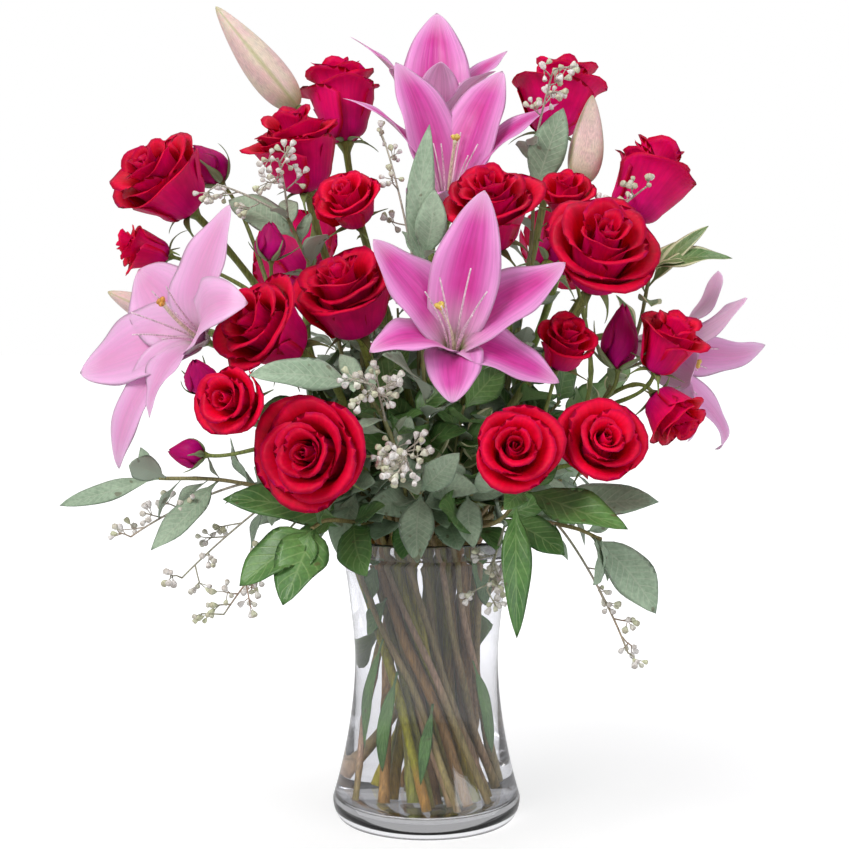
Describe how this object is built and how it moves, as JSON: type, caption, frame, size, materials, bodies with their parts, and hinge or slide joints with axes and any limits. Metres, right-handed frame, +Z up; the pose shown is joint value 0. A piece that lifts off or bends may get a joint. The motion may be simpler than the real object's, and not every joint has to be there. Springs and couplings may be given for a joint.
{
  "type": "roses in a vase",
  "caption": "Clear glass gathering vase with a spiral-tied bouquet of red roses and spray roses, pink lilies, seeded eucalyptus, salal and variegated leaves.",
  "frame": {"origin": "centre of the flat face under the vase that it stands on", "axes": "+Z up along the vase's axis, -Y towards the bouquet's front, +X to the right seen from the front"},
  "size_m": [0.4781, 0.4112, 0.5741],
  "materials": {
    "clear_glass": "polished",
    "rose_petal": "matte",
    "spray_rose_petal": "matte",
    "lily_petal": "satin",
    "rose_stem": "satin",
    "lily_stem": "satin",
    "eucalyptus_leaf": "matte",
    "salal_leaf": "satin",
    "pittosporum_leaf": "satin"
  },
  "bodies": {
    "root": {"eucalyptus_back": "eucalyptus_leaf", "eucalyptus_centre": "eucalyptus_leaf", "eucalyptus_front": "eucalyptus_leaf", "eucalyptus_left_high": "eucalyptus_leaf", "eucalyptus_left_low": "eucalyptus_leaf", "eucalyptus_right_high": "eucalyptus_leaf", "eucalyptus_right_low": "eucalyptus_leaf", "lily_1_bloom": "lily_petal", "lily_2_bloom": "lily_petal", "lily_3_bloom": "lily_petal", "lily_4_bloom": "lily_petal", "lily_5_bloom": "lily_petal", "lily_stem_1": "lily_stem", "lily_stem_2": "lily_stem", "lily_stem_3": "lily_stem", "pittosporum_right": "pittosporum_leaf", "rose_01_bloom": "rose_petal", "rose_01_stem": "rose_stem", "rose_02_bloom": "rose_petal", "rose_02_stem": "rose_stem", "rose_03_bloom": "rose_petal", "rose_03_stem": "rose_stem", "rose_04_bloom": "rose_petal", "rose_04_stem": "rose_stem", "rose_05_bloom": "rose_petal", "rose_05_stem": "rose_stem", "rose_06_bloom": "rose_petal", "rose_06_stem": "rose_stem", "rose_07_bloom": "rose_petal", "rose_07_stem": "rose_stem", "rose_08_bloom": "rose_petal", "rose_08_stem": "rose_stem", "rose_09_bloom": "rose_petal", "rose_09_stem": "rose_stem", "rose_10_bloom": "rose_petal", "rose_10_stem": "rose_stem", "rose_11_bloom": "rose_petal", "rose_11_stem": "rose_stem", "rose_12_bloom": "rose_petal", "rose_12_stem": "rose_stem", "salal_back": "salal_leaf", "salal_left": "salal_leaf", "salal_right": "salal_leaf", "spray_rose_1_bloom_a": "spray_rose_petal", "spray_rose_1_stem": "rose_stem", "spray_rose_2_bloom_a": "spray_rose_petal", "spray_rose_2_stem": "rose_stem", "spray_rose_3_bloom_a": "spray_rose_petal", "spray_rose_3_bloom_b": "spray_rose_petal", "spray_rose_3_bloom_c": "spray_rose_petal", "spray_rose_3_stem": "rose_stem", "spray_rose_4_bloom_a": "spray_rose_petal", "spray_rose_4_bloom_b": "spray_rose_petal", "spray_rose_4_bloom_c": "spray_rose_petal", "spray_rose_4_stem": "rose_stem", "spray_rose_5_bloom_a": "spray_rose_petal", "spray_rose_5_stem": "rose_stem", "spray_rose_6_bloom_a": "spray_rose_petal", "spray_rose_6_stem": "rose_stem", "vase": "clear_glass"}
  },
  "joints": []
}
